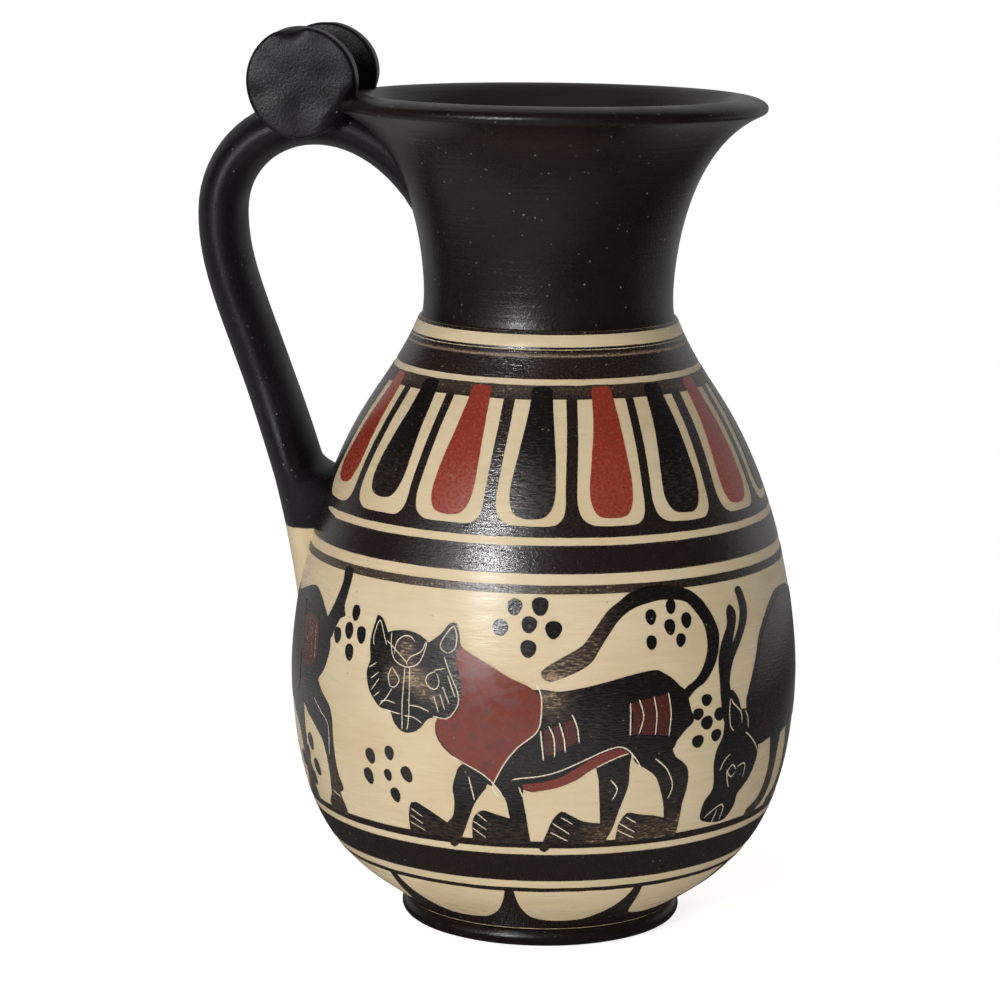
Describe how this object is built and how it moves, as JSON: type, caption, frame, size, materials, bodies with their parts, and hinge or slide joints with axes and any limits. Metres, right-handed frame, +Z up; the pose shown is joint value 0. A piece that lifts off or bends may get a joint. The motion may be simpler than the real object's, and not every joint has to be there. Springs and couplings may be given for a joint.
{
  "type": "pitcher",
  "caption": "Earthenware pitcher with a round belly, flaring open neck and high strap handle with flat discs at its top, painted with bands, tongues and an animal frieze, for pouring.",
  "frame": {"origin": "centre of the flat underside of the foot, on the axis of the wheel", "axes": "+Z up along the axis of the wheel, -X towards the handle, -Y towards the side with the front disc"},
  "size_m": [0.1654, 0.139, 0.2448],
  "materials": {
    "cream_clay": "smooth matt",
    "black_slip": "satin",
    "red_slip": "matt"
  },
  "bodies": {
    "root": {"foot_disc": "black_slip", "belly": "cream_clay", "neck": "black_slip", "neck_collar": "cream_clay", "handle": "black_slip", "disc_front": "black_slip", "disc_back": "black_slip"}
  },
  "joints": []
}
